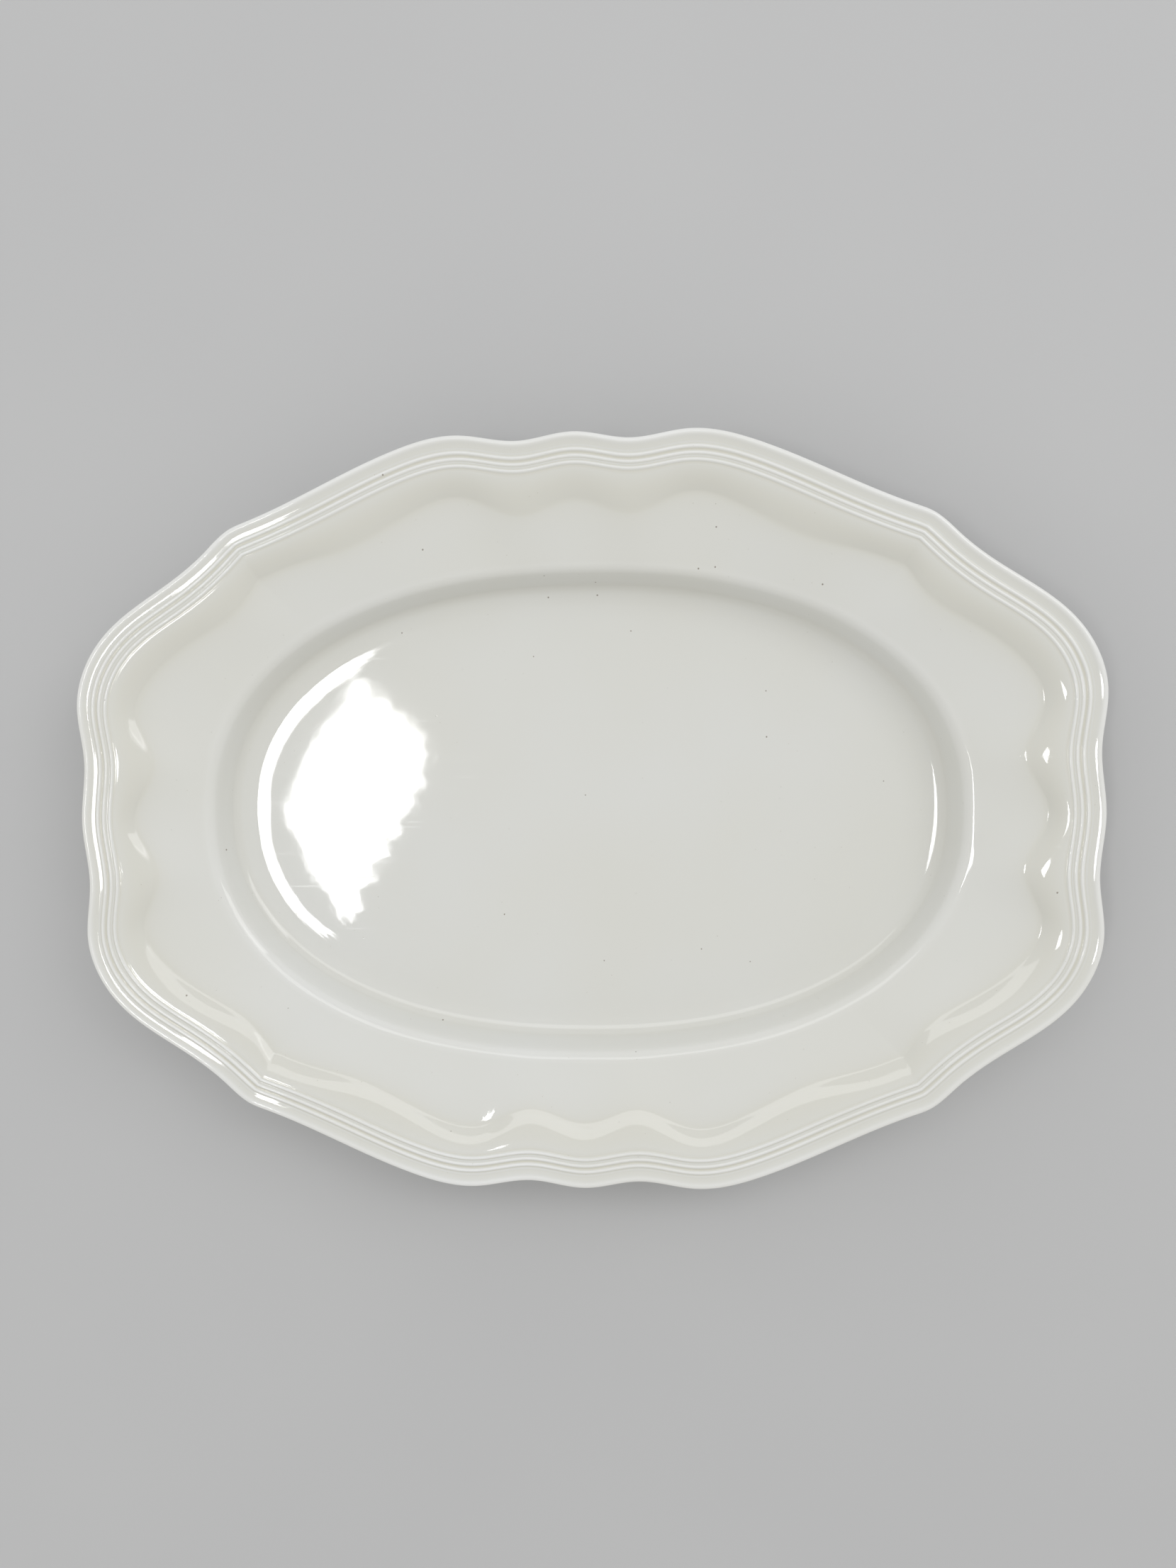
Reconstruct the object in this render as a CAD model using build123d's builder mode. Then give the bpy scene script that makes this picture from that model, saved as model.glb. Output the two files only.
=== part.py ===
from build123d import *
import os
from math import atan, atan2, cos, degrees, hypot, radians, sin, tan

# Oval china serving platter with a scalloped, reeded border. Millimetres.
# X runs the long way, Y across, Z up. The origin is the middle of the plane that the foot ring
# stands on.
#
# Every height is a ring: a closed outline at one level. A ring is placed by its station, the
# nominal distance in from the outer edge, and the rings follow the section of the piece from
# the well, over the border and lip, and back under to the foot.

# ---- driving dimensions ----
HALF_LENGTH = 178.0
HALF_WIDTH = 131.8
HEIGHT = 31.4
FLOOR_TOP = 8.0
BASE_HEIGHT = 3.0
WALL = 4.2
GLAZE = 0.3

# Stations of the guide outlines.
BORDER = 11.0
COVE = 24.0
SHOULDER = 47.0

# Border and lip.
LIP_RADIUS = 1.4
REEDS = 3
REED_PITCH = 2.2
FIRST_REED = 6.0
GROOVE_HEIGHT = 30.6
REED_RISE = 0.55
# The lip rolls over to this angle, then runs down to a near-level band beside the first groove.
# The band and the back of the lip are given as stations and heights.
LIP_ROLL = 66
LIP_BAND = [(2.6, GROOVE_HEIGHT + 0.42), (3.4, GROOVE_HEIGHT + 0.15), (4.4, GROOVE_HEIGHT + 0.02)]
LIP_BACK = [(3, 27.9), (7, 26.9)]

# Rim and cove.
COVE_FOOT = 12.6
COVE_HEIGHT = 26.4
RIM_SLOPE = 0.24
COVE_SLOPE = 0.55
COVE_EASE = 0.017
RIM_STATIONS = (COVE_FOOT, 14.5, 17, 20, 22.3, COVE - 0.5, COVE + 0.7, 35)
BACK_STATIONS = (COVE_FOOT, 16.5, 20, COVE)

# Cavetto, the wall between the rim and the well. The bends at its foot ease it to the level
# floor: each one's radius, and the angle at which it ends.
WALL_ANGLE = 64.0
SHOULDER_START = 46.2
SHOULDER_RADIUS = 5.5
FOOT_BENDS = [(5.0, 22.0), (18.0, 4.0), (70.0, 0.0)]
SHOULDER_STEPS = 4
BEND_STEPS = 3

# Ovals: half length, half width and squareness, where 2 is an ellipse.
SHOULDER_OVAL = (136.5, 88.0, 2.25)
WELL_OVAL = (116.5, 70.5, 2.15)

# Foot ring: its outer edge is placed inward from the well oval, and its sides lean in by the
# batter. The glaze stops at the glaze line, and the bare clay below it has a bevelled edge.
FOOT_OUTER = -4.0
FOOT_WIDTH = 4.6
FOOT_BATTER = 0.9
FOOT_BEVEL_WIDTH = 0.6
FOOT_BEVEL_HEIGHT = 0.5
GLAZE_LINE = 1.2
GLAZE_LINE_BATTER = 0.3
BASE_FILLET = 0.5
BASE_MARGIN = 6.0

# ---- guide outlines, one quarter of each from the end of X round to the end of Y ----
# Thirteen points: lobe, notch and shoulder lobe at the end, the flank, the bracket corner, and
# then the flank, lobe, notch and middle lobe of the long side.
BRACKET = 6
EDGE_POINTS = [
    (HALF_LENGTH, 0), (176.2, 22), (177.9, 42), (168.5, 64.5), (144, 83.2), (129.6, 94.2),
    (121.3, 101.5),
    (114.5, 104.5), (90, 115), (62, 127.1), (39, 131.6), (19, 129.2), (0, HALF_WIDTH),
]
BORDER_POINTS = [
    (167, 0), (165.2, 22), (166.9, 41), (160.2, 57), (138, 74), (122.5, 86),
    (115.6, 92.7),
    (110.5, 94.6), (85.5, 105), (58.5, 116.7), (39, 120.6), (19, 118.2), (0, 120.8),
]
COVE_POINTS = [
    (160.5, 0), (153, 20), (158.5, 37.5), (150.5, 53), (131, 67), (119, 75.5),
    (111.8, 85),
    (104, 88), (81.5, 94.8), (58, 106), (38.5, 111.3), (19, 105.3), (0, 110),
]
# The headings, in degrees, in which an outline reaches its bracket corner and leaves it.
EDGE = (EDGE_POINTS, (147, 147))
BORDER_LINE = (BORDER_POINTS, (135, 159))
COVE_LINE = (COVE_POINTS, (128, 164))


def oval(half_x, half_y, squareness):
    """A smooth oval whose points stand opposite the points of the scalloped edge."""
    points = []
    for x, y in EDGE_POINTS:
        turn = atan2(y / HALF_WIDTH, x / HALF_LENGTH)
        power = 2 / squareness
        points.append((half_x * max(cos(turn), 0) ** power, half_y * sin(turn) ** power))
    x, y = points[BRACKET]
    across = (x / half_x) ** (squareness - 1) / half_x
    along = (y / half_y) ** (squareness - 1) / half_y
    heading = degrees(atan2(across, -along))
    return points, (heading, heading)


def between(first, second, share):
    """The outline that lies between two others, point for point."""
    points = []
    for (x1, y1), (x2, y2) in zip(first[0], second[0]):
        points.append((x1 + share * (x2 - x1), y1 + share * (y2 - y1)))
    headings = [a + share * (b - a) for a, b in zip(first[1], second[1])]
    return points, headings


def outline(station):
    """The outline at a station: scalloped on the border, easing to an oval at the well."""
    if station <= BORDER:
        return between(EDGE, BORDER_LINE, station / BORDER)
    if station <= COVE:
        return between(BORDER_LINE, COVE_LINE, (station - BORDER) / (COVE - BORDER))
    shoulder = oval(*SHOULDER_OVAL)
    if station <= SHOULDER:
        return between(COVE_LINE, shoulder, (station - COVE) / (SHOULDER - COVE))
    if station <= FLOOR_EDGE:
        well = oval(*WELL_OVAL)
        return between(shoulder, well, (station - SHOULDER) / (FLOOR_EDGE - SHOULDER))
    inward = station - FLOOR_EDGE
    half_x, half_y, squareness = WELL_OVAL
    return oval(half_x - inward, half_y - inward, squareness)


def heading_vector(angle):
    return (cos(radians(angle)), sin(radians(angle)))


def ring(station, height):
    """One closed outline at its height, mirrored from its first quarter."""
    points, headings = outline(station)
    with BuildSketch(Plane.XY.offset(height)) as section:
        with BuildLine():
            Spline(*points[:BRACKET + 1], tangents=[(0, 1), heading_vector(headings[0])])
            Spline(*points[BRACKET:], tangents=[heading_vector(headings[1]), (-1, 0)])
            mirror(about=Plane.YZ)
            mirror(about=Plane.XZ)
        make_face()
    return section.sketch


def rings(section):
    return [ring(station, height) for station, height in section]


# ---- the section of the glazed piece, as (station, height) points ----
def arc(centre, radius, start, end, steps):
    """Points on an arc of the section, with angles in degrees from the inward direction."""
    points = []
    for step in range(steps + 1):
        angle = radians(start + (end - start) * step / steps)
        points.append((centre[0] + radius * cos(angle), centre[1] + radius * sin(angle)))
    return points


def bend(start, radius, start_angle, end_angle, steps):
    """Points that follow a start point round a bend, as the slope changes in degrees."""
    station, height = start
    side = 1 if end_angle > start_angle else -1
    points = []
    for step in range(1, steps + 1):
        angle = start_angle + (end_angle - start_angle) * step / steps
        across = sin(radians(angle)) - sin(radians(start_angle))
        along = cos(radians(angle)) - cos(radians(start_angle))
        points.append((station + side * radius * across, height + side * radius * along))
    return points


def wall_section(start, shoulder_radius, bottom, thickness):
    """The wall seen in section: the shoulder, a straight slope and the bends at its foot."""
    shoulder = [start] + bend(start, shoulder_radius, RIM_ANGLE, WALL_ANGLE, SHOULDER_STEPS)
    foot = [(0, 0)]
    angle = WALL_ANGLE
    for radius, end_angle in FOOT_BENDS:
        foot += bend(foot[-1], radius + thickness, angle, end_angle, BEND_STEPS)
        angle = end_angle
    slope_bottom = bottom - foot[-1][1]
    slope_end = shoulder[-1][0] + (shoulder[-1][1] - slope_bottom) / tan(radians(WALL_ANGLE))
    return shoulder + [(slope_end + across, slope_bottom + fall) for across, fall in foot]


def rim_height(station):
    """The top of the rim: an even slope, then a steeper cove that eases off at the border."""
    outward = COVE - station
    if outward < 0:
        return COVE_HEIGHT + RIM_SLOPE * outward
    return COVE_HEIGHT + COVE_SLOPE * outward - COVE_EASE * outward ** 2


def reed_section(middle):
    """A rounded reed between two rounded grooves, without its last groove point."""
    return [(middle + turn / 360 * REED_PITCH,
             GROOVE_HEIGHT + REED_RISE * (1 + cos(radians(turn))) / 2)
            for turn in (-180, -90, 0, 90)]


RIM_ANGLE = degrees(atan(RIM_SLOPE))
SHOULDER_TOP = (SHOULDER_START, rim_height(SHOULDER_START))
CAVETTO = wall_section(SHOULDER_TOP, SHOULDER_RADIUS, FLOOR_TOP, 0)
FLOOR_EDGE = CAVETTO[-1][0]
LIP_CENTRE = (LIP_RADIUS, HEIGHT - LIP_RADIUS)

# From the widest point of the lip, over the border and the rim, down to the floor of the well.
UPPER = arc(LIP_CENTRE, LIP_RADIUS, 180, LIP_ROLL, 5) + LIP_BAND
for reed in range(REEDS):
    UPPER += reed_section(FIRST_REED + reed * REED_PITCH)
UPPER += [(FIRST_REED + (REEDS - 0.5) * REED_PITCH, GROOVE_HEIGHT)]
UPPER += [(station, rim_height(station)) for station in RIM_STATIONS]
UPPER += CAVETTO

# From the lip, under the rim, down the outside of the wall to the outer flank of the foot.
UNDER = arc(LIP_CENTRE, LIP_RADIUS, 200, 250, 2) + LIP_BACK
UNDER += [(station, rim_height(station) - WALL) for station in BACK_STATIONS]
BACK_SHOULDER = (SHOULDER_START - WALL * sin(radians(RIM_ANGLE)),
                 SHOULDER_TOP[1] - WALL * cos(radians(RIM_ANGLE)))
FOOT_EDGE = FLOOR_EDGE + FOOT_OUTER
OUTER_WALL = wall_section(BACK_SHOULDER, SHOULDER_RADIUS - WALL, BASE_HEIGHT, WALL)
UNDER += [point for point in OUTER_WALL if point[0] < FOOT_EDGE - 2 * FOOT_BATTER]
UNDER += [(FOOT_EDGE - FOOT_BATTER, BASE_HEIGHT), (FOOT_EDGE - GLAZE_LINE_BATTER, GLAZE_LINE)]

# The glazed skin of the face and back, and of the base inside the foot ring.
FACE = UPPER[::-1] + UNDER
INNER_FOOT = FOOT_EDGE + FOOT_WIDTH
BASE = [
    (INNER_FOOT + GLAZE_LINE_BATTER, GLAZE_LINE),
    (INNER_FOOT + FOOT_BATTER, BASE_HEIGHT - BASE_FILLET),
    (INNER_FOOT + 2 * FOOT_BATTER, BASE_HEIGHT),
    (INNER_FOOT + BASE_MARGIN, BASE_HEIGHT),
]
# The bare clay that the platter stands on. Its bevels run on below the standing plane, which
# cuts them off flat.
BARE_FOOT = [
    (FOOT_EDGE, FOOT_BEVEL_HEIGHT),
    (FOOT_EDGE + 2 * FOOT_BEVEL_WIDTH, -FOOT_BEVEL_HEIGHT),
    (INNER_FOOT - 2 * FOOT_BEVEL_WIDTH, -FOOT_BEVEL_HEIGHT),
    (INNER_FOOT, FOOT_BEVEL_HEIGHT),
]


def inset(section):
    """The section moved into the clay by the thickness of the glaze."""
    moved = []
    for index, (station, height) in enumerate(section):
        before = section[max(index - 1, 0)]
        after = section[min(index + 1, len(section) - 1)]
        run, rise = after[0] - before[0], after[1] - before[1]
        length = hypot(run, rise)
        moved.append((station - GLAZE * rise / length, height + GLAZE * run / length))
    return moved


os.makedirs("parts", exist_ok=True)

# ---- fired clay body, with its foot ring ----
with BuildPart() as ceramic_body:
    loft(rings(inset(FACE) + BARE_FOOT + inset(BASE)), ruled=True, clean=False)
    split(bisect_by=Plane.XY, keep=Keep.TOP)
ceramic_body.part.label = "ceramic_body"
export_step(ceramic_body.part, "parts/ceramic_body.step")

# ---- glaze over the face, the lip and the back, down to the foot ring ----
with BuildPart() as glaze_coat:
    loft(rings(FACE + inset(FACE)[::-1]), ruled=True, clean=False)
glaze_coat.part.label = "glaze_coat"
export_step(glaze_coat.part, "parts/glaze_coat.step")

# ---- glaze over the base, inside the foot ring ----
with BuildPart() as glaze_base:
    loft(rings(BASE[::-1] + inset(BASE)), ruled=True, clean=False)
glaze_base.part.label = "glaze_base"
export_step(glaze_base.part, "parts/glaze_base.step")
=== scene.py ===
from math import atan, atan2, cos, degrees, hypot, radians, sin, sqrt, tan

import bpy
import numpy as np
from mathutils import Matrix, Vector


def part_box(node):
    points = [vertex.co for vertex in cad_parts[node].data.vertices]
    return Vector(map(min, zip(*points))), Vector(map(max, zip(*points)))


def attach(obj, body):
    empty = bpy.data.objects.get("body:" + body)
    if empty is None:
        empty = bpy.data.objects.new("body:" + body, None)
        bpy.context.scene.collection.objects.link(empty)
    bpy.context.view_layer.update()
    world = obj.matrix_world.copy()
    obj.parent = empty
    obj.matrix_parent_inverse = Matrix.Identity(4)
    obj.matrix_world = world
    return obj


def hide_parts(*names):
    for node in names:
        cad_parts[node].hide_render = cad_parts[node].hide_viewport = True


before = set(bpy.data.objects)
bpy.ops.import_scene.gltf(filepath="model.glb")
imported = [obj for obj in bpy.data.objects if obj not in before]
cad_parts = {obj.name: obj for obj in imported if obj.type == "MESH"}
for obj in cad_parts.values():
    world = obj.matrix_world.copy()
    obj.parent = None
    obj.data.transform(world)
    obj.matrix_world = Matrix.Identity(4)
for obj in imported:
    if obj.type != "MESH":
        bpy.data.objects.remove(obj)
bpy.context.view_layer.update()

# Oval china serving platter with a scalloped, reeded border, lying on its foot ring.
# Metres, Z up, X the long way. The origin is the middle of the plane that the ring stands on.
MM = 0.001

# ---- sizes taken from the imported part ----
coat_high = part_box("glaze_coat")[1]
HALF_LENGTH = coat_high.x
HALF_WIDTH = coat_high.y
HEIGHT = coat_high.z
FLOOR_TOP = 8.0 * MM
BASE_HEIGHT = 3.0 * MM
WALL = 4.2 * MM
GLAZE = 0.3 * MM

# Stations are distances in from the outer edge, where the guide outlines lie.
BORDER = 11.0 * MM
COVE = 24.0 * MM
SHOULDER = 47.0 * MM

# Border and lip. The lip rolls over to this angle, then runs down to the first groove.
LIP_RADIUS = 1.4 * MM
LIP_ROLL = 66
# Shares of the way from the lip to the first groove, and how sharply the fall eases off.
LIP_SHARES = (0.12, 0.25, 0.4, 0.57, 0.78)
LIP_EASE = 2.1
LIP_BACK = [(3 * MM, 27.9 * MM), (7 * MM, 26.9 * MM)]
REEDS = 3
REED_PITCH = 2.2 * MM
FIRST_REED = 6.0 * MM
GROOVE_HEIGHT = 30.6 * MM
REED_RISE = 0.55 * MM

# Rim and cove.
COVE_FOOT = 12.6 * MM
COVE_HEIGHT = 26.4 * MM
RIM_SLOPE = 0.24
COVE_SLOPE = 0.55
COVE_EASE = 0.017 / MM
COVE_BEND = 1.2 * MM
# Where the section has its points: shares of the last groove's outer side, stations on the face
# and back of the rim, and shares of the way from the foot of the wall to the middle of the well.
GROOVE_SHARES = (0, 0.2, 0.45, 0.75)
RIM_STATIONS = (12.6, 13.1, 13.8, 14.8, 16, 17.4, 19, 20.6, 21.8, 22.5, 23, 23.5, 24, 24.5, 25, 25.6,
                26.5, 29, 33, 38, 42, 44.8)
BACK_STATIONS = (12.6, 14.5, 17, 20, 24, 30, 38)
FLOOR_SHARES = (0.02, 0.06, 0.14, 0.3, 0.55, 0.8, 1)

# Cavetto, the wall between the rim and the well. Each bend at its foot has a radius, the angle
# at which it ends and a number of steps.
WALL_ANGLE = 64.0
SHOULDER_START = 46.2 * MM
SHOULDER_RADIUS = 5.5 * MM
FOOT_BENDS = [(5.0 * MM, 22.0, 7), (18.0 * MM, 4.0, 6), (70.0 * MM, 0.0, 4)]
SHOULDER_STEPS = 9
SLOPE_STEPS = 3

# Ovals: half length, half width and squareness, where 2 is an ellipse.
SHOULDER_OVAL = (136.5 * MM, 88.0 * MM, 2.25)
WELL_OVAL = (116.5 * MM, 70.5 * MM, 2.15)

# Foot ring.
FOOT_OUTER = -4.0 * MM
FOOT_WIDTH = 4.6 * MM
FOOT_BATTER = 0.9 * MM
GLAZE_LINE = 1.2 * MM
GLAZE_LINE_BATTER = 0.3 * MM

# ---- guide outlines, one quarter each, from the end of X round to the end of Y ----
BRACKET = 6
EDGE_POINTS = [
    (178, 0), (176.2, 22), (177.9, 42), (168.5, 64.5), (144, 83.2), (129.6, 94.2),
    (121.3, 101.5),
    (114.5, 104.5), (90, 115), (62, 127.1), (39, 131.6), (19, 129.2), (0, 131.8),
]
BORDER_POINTS = [
    (167, 0), (165.2, 22), (166.9, 41), (160.2, 57), (138, 74), (122.5, 86),
    (115.6, 92.7),
    (110.5, 94.6), (85.5, 105), (58.5, 116.7), (39, 120.6), (19, 118.2), (0, 120.8),
]
COVE_POINTS = [
    (160.5, 0), (153, 20), (158.5, 37.5), (150.5, 53), (131, 67), (119, 75.5),
    (111.8, 85),
    (104, 88), (81.5, 94.8), (58, 106), (38.5, 111.3), (19, 105.3), (0, 110),
]
EDGE_HEADINGS = (147, 147)
BORDER_HEADINGS = (135, 159)
COVE_HEADINGS = (128, 164)
STEPS_PER_POINT = 13


def oval_points(half_x, half_y, squareness):
    """A quarter oval whose points stand opposite the scalloped edge's, and its bracket heading."""
    points = []
    for x, y in EDGE_POINTS:
        turn = atan2(y * MM / HALF_WIDTH, x * MM / HALF_LENGTH)
        power = 2 / squareness
        points.append((half_x * max(cos(turn), 0) ** power / MM, half_y * sin(turn) ** power / MM))
    x, y = points[BRACKET]
    across = (x * MM / half_x) ** (squareness - 1) / half_x
    along = (y * MM / half_y) ** (squareness - 1) / half_y
    heading = degrees(atan2(across, -along))
    return points, (heading, heading)


def spline_handles(points, start_heading, end_heading):
    """Bezier handles that make the smoothest curve through points with set end directions."""
    spans = np.hypot(*np.diff(points, axis=0).T)
    count = len(points)
    system = np.zeros((count, count))
    target = np.zeros((count, 2))
    system[0, 0] = system[-1, -1] = 1
    target[0] = (cos(radians(start_heading)), sin(radians(start_heading)))
    target[-1] = (cos(radians(end_heading)), sin(radians(end_heading)))
    for i in range(1, count - 1):
        before, after = spans[i - 1], spans[i]
        system[i, i - 1:i + 2] = (after, 2 * (before + after), before)
        target[i] = 3 * (after * (points[i] - points[i - 1]) / before
                         + before * (points[i + 1] - points[i]) / after)
    speed = np.linalg.solve(system, target)
    reach_in = np.concatenate(([spans[0]], spans))
    reach_out = np.concatenate((spans, [spans[-1]]))
    return points - speed * reach_in[:, None] / 3, points + speed * reach_out[:, None] / 3


def guide(name, quarter, headings):
    """A closed outline as a Bezier curve, mirrored from its first quarter."""
    points = np.array(quarter, float) * MM
    end_in, end_out = spline_handles(points[:BRACKET + 1], 90, headings[0])
    side_in, side_out = spline_handles(points[BRACKET:], headings[1], 180)
    arrive = np.vstack((end_in, side_in[1:]))
    leave = np.vstack((end_out[:-1], side_out))
    loop = []
    for sign_x, sign_y in ((1, 1), (-1, 1), (-1, -1), (1, -1)):
        sign = np.array((sign_x, sign_y))
        forward = sign_x * sign_y > 0
        rows = list(zip(points, arrive, leave)) if forward else list(zip(points, leave, arrive))[::-1]
        loop += [tuple(sign * part for part in row) for row in rows[:-1]]
    data = bpy.data.curves.new(name, "CURVE")
    data.dimensions = "3D"
    data.resolution_u = STEPS_PER_POINT
    spline = data.splines.new("BEZIER")
    spline.bezier_points.add(len(loop) - 1)
    spline.use_cyclic_u = True
    for knot, (place, left, right) in zip(spline.bezier_points, loop):
        knot.handle_left_type = knot.handle_right_type = "FREE"
        knot.co = (*place, 0)
        knot.handle_left = (*left, 0)
        knot.handle_right = (*right, 0)
    curve = bpy.data.objects.new(name, data)
    bpy.context.scene.collection.objects.link(curve)
    return curve


# ---- the section of the glazed piece, as (station, height) points ----
def arc(centre, radius, start, end, steps):
    points = []
    for step in range(steps + 1):
        angle = radians(start + (end - start) * step / steps)
        points.append((centre[0] + radius * cos(angle), centre[1] + radius * sin(angle)))
    return points


def run(start, end, steps):
    """Even points on a straight stretch, without its last point."""
    return [(start[0] + (end[0] - start[0]) * step / steps,
             start[1] + (end[1] - start[1]) * step / steps) for step in range(steps)]


def bend(start, radius, start_angle, end_angle, steps):
    """Points that follow a start point round a bend, as the slope changes in degrees."""
    station, height = start
    side = 1 if end_angle > start_angle else -1
    points = []
    for step in range(1, steps + 1):
        angle = start_angle + (end_angle - start_angle) * step / steps
        across = sin(radians(angle)) - sin(radians(start_angle))
        along = cos(radians(angle)) - cos(radians(start_angle))
        points.append((station + side * radius * across, height + side * radius * along))
    return points


def wall_section(start, shoulder_radius, bottom, thickness):
    """The wall seen in section: the shoulder, a straight slope and the bends at its foot."""
    shoulder = [start] + bend(start, shoulder_radius, RIM_ANGLE, WALL_ANGLE, SHOULDER_STEPS)
    foot = [(0, 0)]
    angle = WALL_ANGLE
    for radius, end_angle, steps in FOOT_BENDS:
        foot += bend(foot[-1], radius + thickness, angle, end_angle, steps)
        angle = end_angle
    slope_bottom = bottom - foot[-1][1]
    slope_end = shoulder[-1][0] + (shoulder[-1][1] - slope_bottom) / tan(radians(WALL_ANGLE))
    slope = run(shoulder[-1], (slope_end, slope_bottom), SLOPE_STEPS)
    return shoulder[:-1] + slope + [(slope_end + across, slope_bottom + fall) for across, fall in foot]


def rim_height(station):
    """The top of the rim: an even slope, bent up into a cove that eases off at the border."""
    outward = COVE - station
    bent = max(outward, 0)
    if abs(outward) < COVE_BEND:
        bent = (outward + COVE_BEND) ** 2 / (4 * COVE_BEND)
    ease = COVE_EASE * max(outward, 0) ** 2
    return COVE_HEIGHT + RIM_SLOPE * outward + (COVE_SLOPE - RIM_SLOPE) * bent - ease


def reed_section(middle):
    """A rounded reed between two rounded grooves, without its last groove point."""
    return [(middle + turn / 360 * REED_PITCH,
             GROOVE_HEIGHT + REED_RISE * (1 + cos(radians(turn))) / 2)
            for turn in range(-180, 180, 40)]


RIM_ANGLE = degrees(atan(RIM_SLOPE))
SHOULDER_TOP = (SHOULDER_START, rim_height(SHOULDER_START))
CAVETTO = wall_section(SHOULDER_TOP, SHOULDER_RADIUS, FLOOR_TOP, 0)
FLOOR_EDGE = CAVETTO[-1][0]
WELL_LENGTH, WELL_WIDTH, _ = WELL_OVAL
MIDDLE = FLOOR_EDGE + WELL_WIDTH
LIP_CENTRE = (LIP_RADIUS, HEIGHT - LIP_RADIUS)


def thinned(section, keep):
    """Every so many points of a section that is hardly seen, with both its ends."""
    return section[:-1:keep] + [section[-1]]


def upper_section():
    """From the widest point of the lip, over the border and the rim, to the middle of the well."""
    section = arc(LIP_CENTRE, LIP_RADIUS, 180, LIP_ROLL, 10)
    start = section[-1]
    groove = (FIRST_REED - REED_PITCH / 2, GROOVE_HEIGHT)
    fall = start[1] - groove[1]
    for share in LIP_SHARES:
        station = start[0] + (groove[0] - start[0]) * share
        section.append((station, groove[1] + fall * (1 - share) ** LIP_EASE))
    for reed in range(REEDS):
        section += reed_section(FIRST_REED + reed * REED_PITCH)
    last = (FIRST_REED + (REEDS - 0.5) * REED_PITCH, GROOVE_HEIGHT)
    foot = (COVE_FOOT, rim_height(COVE_FOOT))
    for share in GROOVE_SHARES:
        ease = share * share * (3 - 2 * share)
        section.append((last[0] + (foot[0] - last[0]) * share, last[1] + (foot[1] - last[1]) * ease))
    for station in RIM_STATIONS:
        section.append((station * MM, rim_height(station * MM)))
    section += CAVETTO
    for share in FLOOR_SHARES:
        section.append((FLOOR_EDGE + WELL_WIDTH * share, FLOOR_TOP))
    return section


def under_section():
    """From the lip, under the rim and down the wall to the glaze line on the foot ring."""
    section = arc(LIP_CENTRE, LIP_RADIUS, 194, 250, 4) + LIP_BACK
    for station in BACK_STATIONS:
        section.append((station * MM, rim_height(station * MM) - WALL))
    start = (SHOULDER_START - WALL * sin(radians(RIM_ANGLE)),
             SHOULDER_TOP[1] - WALL * cos(radians(RIM_ANGLE)))
    edge = FLOOR_EDGE + FOOT_OUTER
    wall = wall_section(start, SHOULDER_RADIUS - WALL, BASE_HEIGHT, WALL)
    section += thinned([point for point in wall if point[0] < edge - 2 * FOOT_BATTER], 2)
    return section + [(edge - FOOT_BATTER, BASE_HEIGHT), (edge - 0.5 * MM, 2 * MM),
                      (edge - GLAZE_LINE_BATTER, GLAZE_LINE)]


def inset(section, depth):
    """The section moved into the clay by a depth."""
    moved = []
    for index, (station, height) in enumerate(section):
        before = section[max(index - 1, 0)]
        after = section[min(index + 1, len(section) - 1)]
        across, rise = after[0] - before[0], after[1] - before[1]
        length = hypot(across, rise)
        moved.append((station - depth * rise / length, height + depth * across / length))
    return moved


FACE = upper_section()[::-1] + under_section()
FOOT_EDGE = FLOOR_EDGE + FOOT_OUTER
INNER_FOOT = FOOT_EDGE + FOOT_WIDTH
BASE = [(INNER_FOOT + GLAZE_LINE_BATTER, GLAZE_LINE), (INNER_FOOT + 0.5 * MM, 2 * MM),
        (INNER_FOOT + FOOT_BATTER, BASE_HEIGHT - 0.5 * MM), (INNER_FOOT + 1.3 * MM, BASE_HEIGHT - 0.15 * MM),
        (INNER_FOOT + 2 * FOOT_BATTER, BASE_HEIGHT), (INNER_FOOT + 6 * MM, BASE_HEIGHT),
        (FLOOR_EDGE + WELL_WIDTH * 0.4, BASE_HEIGHT), (FLOOR_EDGE + WELL_WIDTH * 0.7, BASE_HEIGHT),
        (MIDDLE, BASE_HEIGHT)]
BARE_FOOT = [(FOOT_EDGE - 0.05 * MM, 0.75 * MM), (FOOT_EDGE + 0.05 * MM, 0.4 * MM),
             (FOOT_EDGE + 0.25 * MM, 0.12 * MM), (FOOT_EDGE + 0.6 * MM, 0),
             (INNER_FOOT - 0.6 * MM, 0), (INNER_FOOT - 0.25 * MM, 0.12 * MM),
             (INNER_FOOT - 0.05 * MM, 0.4 * MM), (INNER_FOOT + 0.05 * MM, 0.75 * MM)]


# How far along the section a turn is felt by the glaze tint, and how strongly. The tint pools glaze in
# hollows, which also paints shade there, and paints a highlight on sharp edges.
TURN_REACH = 0.45 * MM
TURN_TINT_SCALE = 0.9 * MM
# Where the glaze gathers in the cove: the middle station, its reach and how much it adds.
POOL_MIDDLE = 19.0 * MM
POOL_REACH = 7.5 * MM
POOL_DEPTH = 0.2


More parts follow.
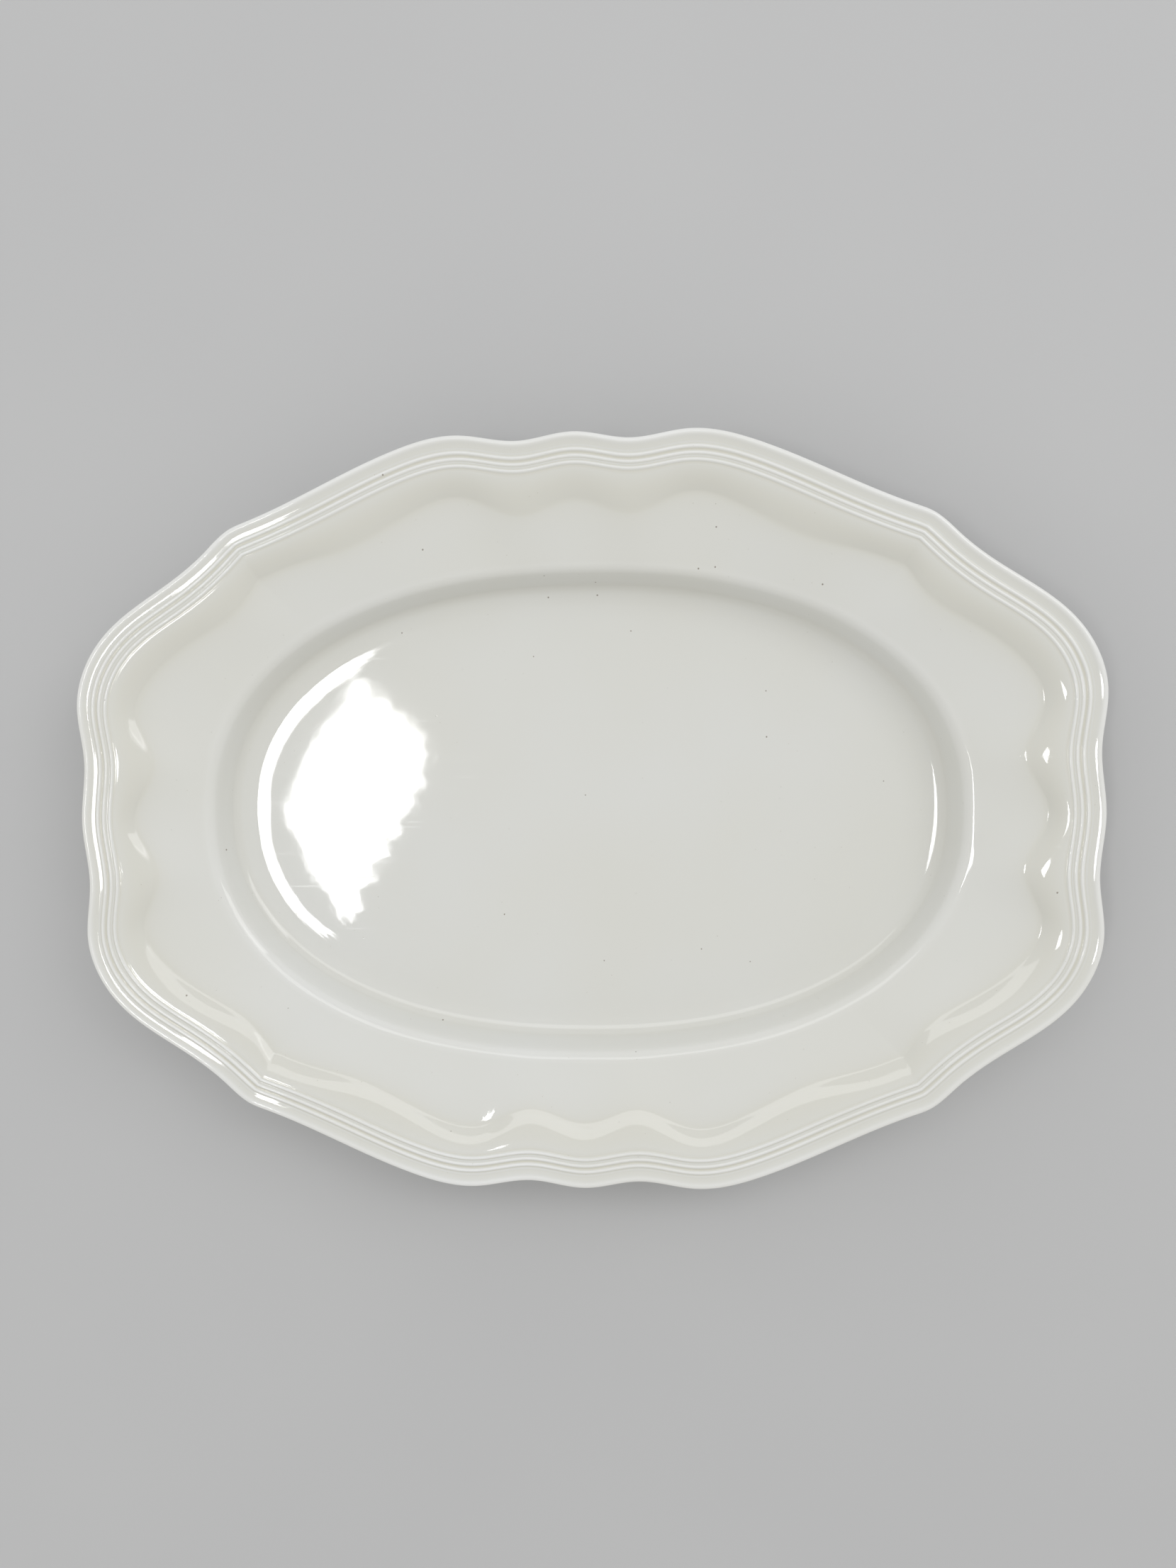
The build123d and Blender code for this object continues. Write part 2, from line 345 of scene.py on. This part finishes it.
def pooling_and_painted_light(section):
    """How thick the glaze lies at each point: 1 in hollows, 0 on sharp edges, 0.5 on the flat. The same value
    paints shade into hollows and grooves and a highlight on the lip and reed crests.
    """
    points = np.array(section)
    step = np.diff(points, axis=0)
    length = np.hypot(*step.T)
    travelled = np.concatenate(([0], np.cumsum(length)))
    course = np.unwrap(np.arctan2(step[:, 1], step[:, 0]))
    turns = np.zeros(len(points))
    turns[1:-1] = -np.diff(course)
    apart = travelled[:, None] - travelled[None, :]
    weight = np.exp(-0.5 * (apart / TURN_REACH) ** 2) / (TURN_REACH * sqrt(2 * np.pi))
    turning = weight @ turns
    depth = 0.5 + 0.5 * np.tanh(turning * TURN_TINT_SCALE)
    return depth + POOL_DEPTH * np.exp(-((points[:, 0] - POOL_MIDDLE) / POOL_REACH) ** 2)


def section_object(name, section, depth):
    """A section as loose points, X the station and Z the height, each with its glaze depth, which also
    carries painted shade and painted highlight.
    """
    mesh = bpy.data.meshes.new(name)
    mesh.from_pydata([(station, 0, height) for station, height in section], [], [])
    mesh.attributes.new("glaze_depth_and_painted_light", "FLOAT", "POINT").data.foreach_set("value", depth)
    holder = bpy.data.objects.new(name, mesh)
    bpy.context.scene.collection.objects.link(holder)
    return holder


# ---- Geometry Nodes: carry a section round the guide outlines ----
def node(tree, kind, **settings):
    made = tree.nodes.new(kind)
    for key, value in settings.items():
        setattr(made, key, value)
    return made


def plug(tree, source, made, socket):
    """Feed a node's input from a socket or from a plain value."""
    if isinstance(source, bpy.types.NodeSocket):
        tree.links.new(source, made.inputs[socket])
    else:
        made.inputs[socket].default_value = source


def calc(tree, operation, first, second=0.0, kind="ShaderNodeMath"):
    made = node(tree, kind, operation=operation)
    plug(tree, first, made, 0)
    plug(tree, second, made, 1)
    return made.outputs[0]


OUTLINE_NAMES = ("Outer Edge", "Border Line", "Cove Line", "Shoulder Oval", "Well Oval")
STATION_NAMES = ("Border Station", "Cove Station", "Shoulder Station", "Floor Station")


def carrying_tree():
    """The tree that makes a closed skin: a grid whose rows follow the section's points and
    whose columns follow the outlines, blended by station."""
    tree = bpy.data.node_groups.new("carry_section_round_outlines", "GeometryNodeTree")
    face = tree.interface
    for name in OUTLINE_NAMES + ("Section",):
        face.new_socket(name, in_out="INPUT", socket_type="NodeSocketObject")
    for name in STATION_NAMES + ("Well Half Length", "Well Half Width", "Seam Gap"):
        face.new_socket(name, in_out="INPUT", socket_type="NodeSocketFloat")
    face.new_socket("Material", in_out="INPUT", socket_type="NodeSocketMaterial")
    face.new_socket("Geometry", in_out="OUTPUT", socket_type="NodeSocketGeometry")
    given = node(tree, "NodeGroupInput").outputs

    section = node(tree, "GeometryNodeObjectInfo")
    plug(tree, given["Section"], section, "Object")
    section_size = node(tree, "GeometryNodeAttributeDomainSize")
    plug(tree, section.outputs["Geometry"], section_size, 0)
    rows = section_size.outputs["Point Count"]

    outlines = []
    for name in OUTLINE_NAMES:
        info = node(tree, "GeometryNodeObjectInfo")
        plug(tree, given[name], info, "Object")
        points = node(tree, "GeometryNodeCurveToPoints", mode="EVALUATED")
        plug(tree, info.outputs["Geometry"], points, 0)
        outlines.append(points.outputs["Points"])
    outline_size = node(tree, "GeometryNodeAttributeDomainSize", component="POINTCLOUD")
    plug(tree, outlines[0], outline_size, 0)
    columns = outline_size.outputs["Point Count"]

    grid = node(tree, "GeometryNodeMeshGrid")
    plug(tree, calc(tree, "ADD", columns, 1.0), grid, "Vertices X")
    plug(tree, rows, grid, "Vertices Y")
    index = node(tree, "GeometryNodeInputIndex").outputs[0]
    row = calc(tree, "MODULO", index, rows)
    turned = calc(tree, "FLOOR", calc(tree, "DIVIDE", calc(tree, "ADD", index, 0.5), rows))
    column = calc(tree, "MODULO", turned, columns)

    place = node(tree, "GeometryNodeInputPosition").outputs[0]
    along = node(tree, "GeometryNodeSampleIndex", data_type="FLOAT_VECTOR")
    plug(tree, section.outputs["Geometry"], along, "Geometry")
    plug(tree, place, along, "Value")
    plug(tree, row, along, "Index")
    parts = node(tree, "ShaderNodeSeparateXYZ")
    plug(tree, along.outputs[0], parts, 0)
    station, height = parts.outputs["X"], parts.outputs["Z"]

    spot = None
    previous = 0.0
    for points, name in zip(outlines, (None,) + STATION_NAMES):
        sample = node(tree, "GeometryNodeSampleIndex", data_type="FLOAT_VECTOR")
        plug(tree, points, sample, "Geometry")
        plug(tree, place, sample, "Value")
        plug(tree, column, sample, "Index")
        if name is None:
            spot = sample.outputs[0]
            continue
        share = node(tree, "ShaderNodeMapRange")
        plug(tree, station, share, "Value")
        plug(tree, previous, share, "From Min")
        plug(tree, given[name], share, "From Max")
        mix = node(tree, "ShaderNodeMix", data_type="VECTOR")
        plug(tree, share.outputs[0], mix, "Factor")
        tree.links.new(spot, mix.inputs[4])
        tree.links.new(sample.outputs[0], mix.inputs[5])
        spot = mix.outputs[1]
        previous = given[name]

    inward = calc(tree, "MAXIMUM", calc(tree, "SUBTRACT", station, given["Floor Station"]), 0.0)
    shrink = node(tree, "ShaderNodeCombineXYZ")
    for axis, size in enumerate(("Well Half Length", "Well Half Width")):
        share = calc(tree, "DIVIDE", inward, given[size])
        plug(tree, calc(tree, "SUBTRACT", 1.0, share), shrink, axis)
    flat = calc(tree, "MULTIPLY", spot, shrink.outputs[0], "ShaderNodeVectorMath")
    lift = node(tree, "ShaderNodeCombineXYZ")
    plug(tree, height, lift, 2)
    final = calc(tree, "ADD", flat, lift.outputs[0], "ShaderNodeVectorMath")

    # The glaze depth, which also carries painted shade in hollows and a painted highlight on sharp edges.
    deep = node(tree, "GeometryNodeInputNamedAttribute", data_type="FLOAT")
    deep.inputs["Name"].default_value = "glaze_depth_and_painted_light"
    depth = node(tree, "GeometryNodeSampleIndex", data_type="FLOAT")
    plug(tree, section.outputs["Geometry"], depth, "Geometry")
    plug(tree, deep.outputs["Attribute"], depth, "Value")
    plug(tree, row, depth, "Index")
    keep = node(tree, "GeometryNodeStoreNamedAttribute", data_type="FLOAT", domain="POINT")
    plug(tree, grid.outputs["Mesh"], keep, "Geometry")
    keep.inputs["Name"].default_value = "glaze_depth_and_painted_light"
    plug(tree, depth.outputs[0], keep, "Value")

    shape = node(tree, "GeometryNodeSetPosition")
    plug(tree, keep.outputs[0], shape, "Geometry")
    plug(tree, final, shape, "Position")
    close = node(tree, "GeometryNodeMergeByDistance")
    plug(tree, shape.outputs[0], close, "Geometry")
    plug(tree, given["Seam Gap"], close, "Distance")
    outward = node(tree, "GeometryNodeFlipFaces")
    plug(tree, close.outputs[0], outward, 0)
    smooth = node(tree, "GeometryNodeSetShadeSmooth")
    plug(tree, outward.outputs[0], smooth, 0)
    whole = node(tree, "GeometryNodeRealizeInstances")
    plug(tree, smooth.outputs[0], whole, 0)
    finish = node(tree, "GeometryNodeSetMaterial")
    plug(tree, whole.outputs[0], finish, "Geometry")
    plug(tree, given["Material"], finish, "Material")
    result = node(tree, "NodeGroupOutput")
    plug(tree, finish.outputs[0], result, 0)
    return tree


def carried(name, tree, guides, section, depth, material):
    """A piece made by the carrying tree, as a plain mesh."""
    holder = bpy.data.objects.new(name + "_maker", bpy.data.meshes.new(name + "_maker"))
    bpy.context.scene.collection.objects.link(holder)
    outline = section_object(name + "_section", section, depth)
    modifier = holder.modifiers.new("carry", "NODES")
    modifier.node_group = tree
    sizes = dict(zip(OUTLINE_NAMES, guides))
    sizes.update(zip(STATION_NAMES, (BORDER, COVE, SHOULDER, FLOOR_EDGE)))
    sizes.update({"Section": outline, "Well Half Length": WELL_LENGTH, "Well Half Width": WELL_WIDTH,
                  "Seam Gap": 0.002 * MM, "Material": material})
    for item in tree.interface.items_tree:
        if item.in_out == "INPUT":
            modifier[item.identifier] = sizes[item.name]
    bpy.context.view_layer.update()
    made = holder.evaluated_get(bpy.context.evaluated_depsgraph_get())
    mesh = bpy.data.meshes.new_from_object(made)
    mesh.name = name
    piece = bpy.data.objects.new(name, mesh)
    bpy.context.scene.collection.objects.link(piece)
    holder.modifiers.remove(modifier)
    for spent in (holder, outline):
        bpy.data.objects.remove(spent)
    return piece


# ---- materials ----
def ripple_group():
    """The faint waviness of a fired glaze, and finer orange peel, as one height."""
    tree = bpy.data.node_groups.new("fired_ripple", "ShaderNodeTree")
    tree.interface.new_socket("Position", in_out="INPUT", socket_type="NodeSocketVector")
    tree.interface.new_socket("Wave Count", in_out="INPUT", socket_type="NodeSocketFloat")
    tree.interface.new_socket("Fine Share", in_out="INPUT", socket_type="NodeSocketFloat")
    tree.interface.new_socket("Height", in_out="OUTPUT", socket_type="NodeSocketFloat")
    given = node(tree, "NodeGroupInput").outputs
    broad = node(tree, "ShaderNodeTexNoise")
    plug(tree, given["Position"], broad, "Vector")
    plug(tree, given["Wave Count"], broad, "Scale")
    plug(tree, 1.0, broad, "Detail")
    fine = node(tree, "ShaderNodeTexNoise")
    plug(tree, given["Position"], fine, "Vector")
    plug(tree, calc(tree, "MULTIPLY", given["Wave Count"], 4.5), fine, "Scale")
    plug(tree, 1.0, fine, "Detail")
    height = calc(tree, "ADD", broad.outputs[0], calc(tree, "MULTIPLY", fine.outputs[0], given["Fine Share"]))
    plug(tree, height, node(tree, "NodeGroupOutput"), 0)
    return tree


def specks_group():
    """Scattered iron specks and pinholes, as a mask from 0 to 1."""
    tree = bpy.data.node_groups.new("kiln_specks", "ShaderNodeTree")
    tree.interface.new_socket("Position", in_out="INPUT", socket_type="NodeSocketVector")
    tree.interface.new_socket("Spacing", in_out="INPUT", socket_type="NodeSocketFloat")
    tree.interface.new_socket("Radius", in_out="INPUT", socket_type="NodeSocketFloat")
    tree.interface.new_socket("Share", in_out="INPUT", socket_type="NodeSocketFloat")
    tree.interface.new_socket("Mask", in_out="OUTPUT", socket_type="NodeSocketFloat")
    given = node(tree, "NodeGroupInput").outputs
    count = calc(tree, "DIVIDE", 1.0, given["Spacing"])
    cells = node(tree, "ShaderNodeTexVoronoi")
    plug(tree, given["Position"], cells, "Vector")
    plug(tree, count, cells, "Scale")
    tone = node(tree, "ShaderNodeSeparateColor")
    plug(tree, cells.outputs["Color"], tone, 0)
    chosen = calc(tree, "LESS_THAN", tone.outputs[0], given["Share"])
    reach = calc(tree, "MULTIPLY", given["Radius"], count)
    spot = node(tree, "ShaderNodeMapRange", interpolation_type="SMOOTHSTEP")
    plug(tree, cells.outputs["Distance"], spot, "Value")
    plug(tree, calc(tree, "MULTIPLY", reach, 0.45), spot, "From Min")
    plug(tree, reach, spot, "From Max")
    plug(tree, 1.0, spot, "To Min")
    plug(tree, 0.0, spot, "To Max")
    plug(tree, calc(tree, "MULTIPLY", spot.outputs[0], chosen), node(tree, "NodeGroupOutput"), 0)
    return tree


RIPPLE = ripple_group()
SPECKS = specks_group()


def use_group(tree, group, **values):
    made = node(tree, "ShaderNodeGroup", node_tree=group)
    for key, value in values.items():
        plug(tree, value, made, key.replace("_", " "))
    return made.outputs[0]


def tint(tree, share, first, second):
    """A colour between two others."""
    mix = node(tree, "ShaderNodeMix", data_type="RGBA")
    plug(tree, share, mix, 0)
    for source, socket in ((first, 6), (second, 7)):
        plug(tree, source if isinstance(source, bpy.types.NodeSocket) else (*source, 1), mix, socket)
    return mix.outputs[2]


def surface(name):
    """A new material with its Principled shader and its own place on the piece."""
    material = bpy.data.materials.new(name)
    material.use_nodes = True
    tree = material.node_tree
    shader = tree.nodes["Principled BSDF"]
    place = node(tree, "ShaderNodeTexCoord").outputs["Object"]
    return material, tree, shader, place


def scratches(tree, place, angle, shift):
    """Thin faint knife marks at one slant, as a mask."""
    turn = node(tree, "ShaderNodeMapping")
    plug(tree, place, turn, "Vector")
    turn.inputs["Rotation"].default_value = (0, 0, radians(angle))
    turn.inputs["Location"].default_value = (shift, 0, 0)
    turn.inputs["Scale"].default_value = (26, 900, 1)
    grain = node(tree, "ShaderNodeTexNoise")
    plug(tree, turn.outputs[0], grain, "Vector")
    plug(tree, 1.0, grain, "Scale")
    plug(tree, 0.0, grain, "Detail")
    line = node(tree, "ShaderNodeMapRange")
    plug(tree, grain.outputs[0], line, "Value")
    plug(tree, 0.77, line, "From Min")
    plug(tree, 0.83, line, "From Max")
    return line.outputs[0]


def ivory_glaze(name, shade):
    """Clear gloss glaze over an ivory body: whiter where it is thin on sharp edges, which paints a highlight
    on the lip and reed crests, and creamier where it pools, which also paints shade into hollows.
    """
    material, tree, shader, place = surface(name)
    depth = node(tree, "ShaderNodeAttribute", attribute_name="glaze_depth_and_painted_light").outputs["Fac"]
    thin_glaze_and_painted_highlight = node(tree, "ShaderNodeMapRange")
    plug(tree, depth, thin_glaze_and_painted_highlight, "Value")
    plug(tree, 0.1, thin_glaze_and_painted_highlight, "From Min")
    plug(tree, 0.5, thin_glaze_and_painted_highlight, "From Max")
    thick_glaze_and_painted_shade = node(tree, "ShaderNodeMapRange")
    plug(tree, depth, thick_glaze_and_painted_shade, "Value")
    plug(tree, 0.5, thick_glaze_and_painted_shade, "From Min")
    plug(tree, 0.95, thick_glaze_and_painted_shade, "From Max")
    # Whiter on sharp edges is a painted highlight as well as thin glaze; creamier in hollows is pooled glaze
    # as well as painted shade.
    colour = tint(tree, thin_glaze_and_painted_highlight.outputs[0], [c * shade for c in (0.85, 0.85, 0.835)],
                  [c * shade for c in (0.715, 0.716, 0.68)])
    colour = tint(tree, thick_glaze_and_painted_shade.outputs[0], colour, [c * shade for c in (0.64, 0.62, 0.52)])
    cloud = node(tree, "ShaderNodeTexNoise")
    plug(tree, place, cloud, "Vector")
    plug(tree, 14.0, cloud, "Scale")
    plug(tree, 2.0, cloud, "Detail")
    drift = node(tree, "ShaderNodeMapRange")
    plug(tree, cloud.outputs[0], drift, "Value")
    plug(tree, 0.35, drift, "From Min")
    plug(tree, 0.7, drift, "From Max")
    plug(tree, 0.0, drift, "To Min")
    plug(tree, 0.35, drift, "To Max")
    colour = tint(tree, drift.outputs[0], colour, [c * shade for c in (0.685, 0.675, 0.60)])
    specks = use_group(tree, SPECKS, Position=place, Spacing=6.0 * MM, Radius=0.42 * MM, Share=0.16)
    pits = use_group(tree, SPECKS, Position=place, Spacing=3.1 * MM, Radius=0.2 * MM, Share=0.22)
    colour = tint(tree, calc(tree, "MULTIPLY", specks, 0.75), colour, (0.16, 0.12, 0.085))
    colour = tint(tree, calc(tree, "MULTIPLY", pits, 0.35), colour, (0.3, 0.26, 0.2))
    tree.links.new(colour, shader.inputs["Base Color"])
    marks = calc(tree, "ADD", scratches(tree, place, 68, 0.3), scratches(tree, place, -37, 5.2))
    worn = node(tree, "ShaderNodeMapRange")
    plug(tree, cloud.outputs[0], worn, "Value")
    plug(tree, 0.3, worn, "From Min")
    plug(tree, 0.75, worn, "From Max")
    plug(tree, 0.03, worn, "To Min")
    plug(tree, 0.055, worn, "To Max")
    rough = calc(tree, "ADD", worn.outputs[0], calc(tree, "MULTIPLY", marks, 0.12))
    tree.links.new(rough, shader.inputs["Roughness"])
    shader.inputs["IOR"].default_value = 1.52
    ripple = use_group(tree, RIPPLE, Position=place, Wave_Count=75.0, Fine_Share=0.12)
    height = calc(tree, "SUBTRACT", ripple, calc(tree, "MULTIPLY", calc(tree, "ADD", specks, pits), 0.8))
    bump = node(tree, "ShaderNodeBump")
    plug(tree, 1.0, bump, "Strength")
    plug(tree, 0.035 * MM, bump, "Distance")
    plug(tree, height, bump, "Height")
    tree.links.new(bump.outputs[0], shader.inputs["Normal"])
    return material


def bare_clay(name):
    """Unglazed fired clay: matt, fine-grained, and greyed where it has stood and slid."""
    material, tree, shader, place = surface(name)
    grain = node(tree, "ShaderNodeTexNoise")
    plug(tree, place, grain, "Vector")
    plug(tree, 1900.0, grain, "Scale")
    plug(tree, 3.0, grain, "Detail")
    wear = node(tree, "ShaderNodeTexNoise")
    plug(tree, place, wear, "Vector")
    plug(tree, 55.0, wear, "Scale")
    plug(tree, 4.0, wear, "Detail")
    colour = tint(tree, grain.outputs[0], (0.74, 0.67, 0.55), (0.62, 0.54, 0.42))
    grey = node(tree, "ShaderNodeMapRange")
    plug(tree, wear.outputs[0], grey, "Value")
    plug(tree, 0.45, grey, "From Min")
    plug(tree, 0.7, grey, "From Max")
    plug(tree, 0.0, grey, "To Min")
    plug(tree, 0.6, grey, "To Max")
    colour = tint(tree, grey.outputs[0], colour, (0.36, 0.32, 0.27))
    specks = use_group(tree, SPECKS, Position=place, Spacing=2.4 * MM, Radius=0.25 * MM, Share=0.3)
    colour = tint(tree, specks, colour, (0.17, 0.12, 0.09))
    tree.links.new(colour, shader.inputs["Base Color"])
    shader.inputs["Roughness"].default_value = 0.78
    ripple = use_group(tree, RIPPLE, Position=place, Wave_Count=900.0, Fine_Share=0.5)
    bump = node(tree, "ShaderNodeBump")
    plug(tree, 0.8, bump, "Strength")
    plug(tree, 0.08 * MM, bump, "Distance")
    plug(tree, ripple, bump, "Height")
    tree.links.new(bump.outputs[0], shader.inputs["Normal"])
    return material


def plain_floor(name):
    """Pale matt studio floor."""
    material, tree, shader, place = surface(name)
    grain = node(tree, "ShaderNodeTexNoise")
    plug(tree, place, grain, "Vector")
    plug(tree, 6.0, grain, "Scale")
    colour = tint(tree, grain.outputs[0], (0.50, 0.50, 0.50), (0.54, 0.54, 0.535))
    tree.links.new(colour, shader.inputs["Base Color"])
    shader.inputs["Roughness"].default_value = 0.6
    return material


# ---- the platter ----
GUIDES = (
    guide("outer_edge", EDGE_POINTS, EDGE_HEADINGS),
    guide("border_line", BORDER_POINTS, BORDER_HEADINGS),
    guide("cove_line", COVE_POINTS, COVE_HEADINGS),
    guide("shoulder_oval", *oval_points(*SHOULDER_OVAL)),
    guide("well_oval", *oval_points(*WELL_OVAL)),
)
CARRY = carrying_tree()


def skin(first, second, seen):
    """A closed skin of glaze from its two faces, with the glaze depth, painted shade and painted highlight of
    the seen one.
    """
    depth = [pooling_and_painted_light(side) if side is seen else np.full(len(side), 0.5) for side in (first, second)]
    return first + second, np.concatenate(depth)


FACE_GLAZE = ivory_glaze("ivory_face_glaze", 1.0)
BASE_GLAZE = ivory_glaze("ivory_base_glaze", 0.97)
CLAY = bare_clay("bare_fired_clay")

face_back = thinned(inset(FACE, GLAZE)[::-1], 6)
face_skin = carried("face_and_back_glaze", CARRY, GUIDES, *skin(FACE, face_back, FACE), FACE_GLAZE)
base_back = inset(BASE, GLAZE)[::-1]
base_skin = carried("base_glaze", CARRY, GUIDES, *skin(base_back, BASE, BASE), BASE_GLAZE)
CLAY_DEPTH = GLAZE + 0.02 * MM
clay_section = thinned(inset(FACE, CLAY_DEPTH), 4) + BARE_FOOT + inset(BASE, CLAY_DEPTH)
clay = carried("fired_clay_body", CARRY, GUIDES, clay_section, np.full(len(clay_section), 0.5), CLAY)
for curve in GUIDES:
    bpy.data.objects.remove(curve)

for piece, cad_node, slot in ((face_skin, "glaze_coat", "glaze"), (base_skin, "glaze_base", "glaze"),
                              (clay, "ceramic_body", "bare_clay")):
    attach(piece, "root")
    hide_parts(cad_node)


# ---- floor, lights and camera ----
EYE = (30.18 * MM, 39.76 * MM, 419.95 * MM)
FLOOR_SIZE = 8.0
WINDOW_HEIGHT = 1.5
WINDOW_STRENGTH = 15.0
# The room's strength at the horizon and overhead.
HORIZON_STRENGTH = 1.08
ZENITH_STRENGTH = 0.63
# Where the window is mirrored in the well: its outline on the floor of the well, in millimetres,
# ragged on the side towards the middle.
WINDOW_IN_WELL = [
    (-82.3, 50.6), (-78, 48.2), (-77, 44), (-71, 42.6), (-69.5, 37.5), (-64, 36.6), (-63, 31),
    (-58.3, 29), (-59.5, 25), (-55.8, 21), (-60, 16), (-57.5, 11), (-63.5, 7.5), (-62, 2),
    (-68.5, -1.5), (-67, -7), (-73.5, -10), (-72, -16), (-79, -19.5), (-77.5, -25),
    (-84.5, -29), (-83, -35), (-88, -37), (-88.6, -41.5),
    (-103, -21), (-111.5, 3), (-101, 27),
]


def floor_plane(size):
    mesh = bpy.data.meshes.new("studio_floor")
    half = size / 2
    mesh.from_pydata([(-half, -half, 0), (half, -half, 0), (half, half, 0), (-half, half, 0)], [],
                     [(0, 1, 2, 3)])
    mesh.materials.append(plain_floor("pale_floor"))
    plane = bpy.data.objects.new("studio_floor", mesh)
    bpy.context.scene.collection.objects.link(plane)


def soft_light(name, place, aim, along, width, height, power, colour=(1, 1, 1)):
    """A soft rectangular light at a place, facing the aim, its height running along a direction."""
    data = bpy.data.lights.new(name, "AREA")
    data.shape = "RECTANGLE"
    data.size = width
    data.size_y = height
    data.energy = power
    data.color = colour
    lamp = bpy.data.objects.new(name, data)
    back = (Vector(place) - Vector(aim)).normalized()
    across = Vector(along).cross(back).normalized()
    turn = Matrix((across, back.cross(across), back)).transposed().to_4x4()
    lamp.matrix_world = Matrix.Translation(place) @ turn
    lamp.visible_camera = False
    bpy.context.scene.collection.objects.link(lamp)


def bright_window(name, outline, height, strength):
    """A glowing pane of any outline, level above the platter and unseen by the camera."""
    mesh = bpy.data.meshes.new(name)
    mesh.from_pydata([(x, y, height) for x, y in outline], [], [tuple(range(len(outline)))])
    material = bpy.data.materials.new(name + "_glow")
    material.use_nodes = True
    tree = material.node_tree
    glow = node(tree, "ShaderNodeEmission")
    plug(tree, strength, glow, "Strength")
    tree.links.new(glow.outputs[0], tree.nodes["Material Output"].inputs["Surface"])
    mesh.materials.append(material)
    pane = bpy.data.objects.new(name, mesh)
    pane.visible_camera = False
    bpy.context.scene.collection.objects.link(pane)


def mirrored_up(spot, height):
    """Where the camera sees a height above the floor of the well mirrored at a spot on it."""
    rise = height - FLOOR_TOP
    return [place + (place - eye) * rise / (EYE[2] - FLOOR_TOP) for place, eye in zip(spot, EYE)]


def studio_world():
    """A pale room, brighter towards the horizon and a little brighter and cooler beyond +Y."""
    world = bpy.data.worlds.new("studio")
    bpy.context.scene.world = world
    world.use_nodes = True
    tree = world.node_tree
    place = node(tree, "ShaderNodeTexCoord").outputs["Generated"]
    parts = node(tree, "ShaderNodeSeparateXYZ")
    plug(tree, place, parts, 0)
    rise = node(tree, "ShaderNodeMapRange")
    plug(tree, parts.outputs["Y"], rise, "Value")
    plug(tree, -0.75, rise, "From Min")
    plug(tree, 0.75, rise, "From Max")
    colour = tint(tree, rise.outputs[0], (0.80, 0.795, 0.78), (0.88, 0.89, 0.91))
    tree.links.new(colour, tree.nodes["Background"].inputs["Color"])
    low = node(tree, "ShaderNodeMapRange")
    plug(tree, parts.outputs["Z"], low, "Value")
    plug(tree, HORIZON_STRENGTH, low, "To Min")
    plug(tree, ZENITH_STRENGTH, low, "To Max")
    tree.links.new(low.outputs[0], tree.nodes["Background"].inputs["Strength"])


def camera():
    """Nearly square above the platter, a little beyond its middle towards +X and +Y."""
    data = bpy.data.cameras.new("camera")
    data.lens = 26.0
    data.sensor_width = 36.0
    right = Vector((0.99761, -0.01559, -0.06731))
    up = Vector((0.01074, 0.99736, -0.07186))
    back = Vector((0.06826, 0.07096, 0.99514))
    holder = bpy.data.objects.new("camera", data)
    holder.matrix_world = Matrix.Translation(EYE) @ Matrix((right, up, back)).transposed().to_4x4()
    data.clip_start = 0.01
    bpy.context.scene.collection.objects.link(holder)
    bpy.context.scene.camera = holder


floor_plane(FLOOR_SIZE)
studio_world()
window = [mirrored_up((x * MM, y * MM), WINDOW_HEIGHT) for x, y in WINDOW_IN_WELL]
bright_window("window", window, WINDOW_HEIGHT, WINDOW_STRENGTH)
soft_light("ceiling_panel", (0.1, 0.85, 1.55), (0, 0, 0), (1, 0, 0), 0.5, 2.0, 5.0, (0.98, 0.985, 1.0))
soft_light("side_panel", (1.3, 0.9, 1.3), (0, 0, 0), (-1, 1, 0), 0.9, 0.9, 6.0, (0.99, 0.99, 1.0))
camera()
bpy.context.scene.view_settings.view_transform = "Standard"
